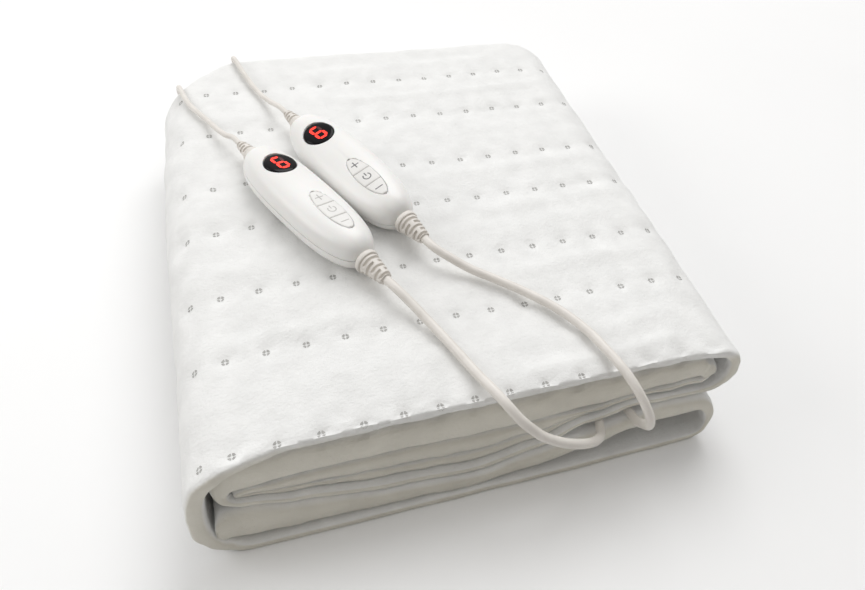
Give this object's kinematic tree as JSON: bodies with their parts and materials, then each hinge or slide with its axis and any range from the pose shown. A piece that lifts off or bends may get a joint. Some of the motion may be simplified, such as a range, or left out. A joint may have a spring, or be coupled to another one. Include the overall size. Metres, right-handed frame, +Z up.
{
  "type": "folded electric heated blanket with two control handsets",
  "caption": "Felt electric underblanket folded into a thick rectangular book, with oval push-button handsets, power leads and mains cords lying on it.",
  "frame": {"origin": "Bottom centre of the folded blanket, on the surface it lies on.", "axes": "+X runs right along the front edge, +Y runs to the back, +Z is up. The front, where the layers show, faces -Y."},
  "size_m": [0.3815, 0.5688, 0.1246],
  "materials": {
    "felt": "soft white needled felt with rows of small welded rings",
    "case": "warm white moulded plastic, glossy",
    "window": "black glossy window with a red digit behind it",
    "key": "white soft-touch key with a small grey symbol",
    "relief": "warm white ribbed strain relief",
    "cord": "warm white flexible cord sheath",
    "plug": "white moulded plug",
    "pin": "nickel-plated pin"
  },
  "bodies": {
    "root": {"blanket": "felt", "handset_far_front_relief": "relief", "handset_far_lower_case": "case", "handset_far_rear_relief": "relief", "handset_far_upper_case": "case", "handset_far_window": "window", "handset_near_front_relief": "relief", "handset_near_lower_case": "case", "handset_near_rear_relief": "relief", "handset_near_upper_case": "case", "handset_near_window": "window", "lead_far": "cord", "lead_near": "cord", "mains_coil_far": "cord", "mains_coil_near": "cord", "mains_cord_far": "cord", "mains_cord_near": "cord", "plug_cord_far": "cord", "plug_cord_near": "cord", "plug_far": "plug", "plug_far_pin_a": "pin", "plug_far_pin_b": "pin", "plug_near": "plug", "plug_near_pin_a": "pin", "plug_near_pin_b": "pin"},
    "key_far_minus": {"handset_far_key_minus": "key"},
    "key_far_plus": {"handset_far_key_plus": "key"},
    "key_far_power": {"handset_far_key_power": "key"},
    "key_near_minus": {"handset_near_key_minus": "key"},
    "key_near_plus": {"handset_near_key_plus": "key"},
    "key_near_power": {"handset_near_key_power": "key"}
  },
  "joints": [
    {"name": "press_far_minus", "type": "slide", "parent": "root", "child": "key_far_minus", "axis": [0.2364, 0.1053, -0.9659], "range_m": [0, 0.0006], "stiffness_N_per_m": 1500},
    {"name": "press_far_plus", "type": "slide", "parent": "root", "child": "key_far_plus", "axis": [0.2364, 0.1053, -0.9659], "range_m": [0, 0.0006], "stiffness_N_per_m": 1500},
    {"name": "press_far_power", "type": "slide", "parent": "root", "child": "key_far_power", "axis": [0.2364, 0.1053, -0.9659], "range_m": [0, 0.0006], "stiffness_N_per_m": 1500},
    {"name": "press_near_minus", "type": "slide", "parent": "root", "child": "key_near_minus", "axis": [-0.1095, -0.0534, -0.9925], "range_m": [0, 0.0006], "stiffness_N_per_m": 1500},
    {"name": "press_near_plus", "type": "slide", "parent": "root", "child": "key_near_plus", "axis": [-0.1095, -0.0534, -0.9925], "range_m": [0, 0.0006], "stiffness_N_per_m": 1500},
    {"name": "press_near_power", "type": "slide", "parent": "root", "child": "key_near_power", "axis": [-0.1095, -0.0534, -0.9925], "range_m": [0, 0.0006], "stiffness_N_per_m": 1500}
  ]
}
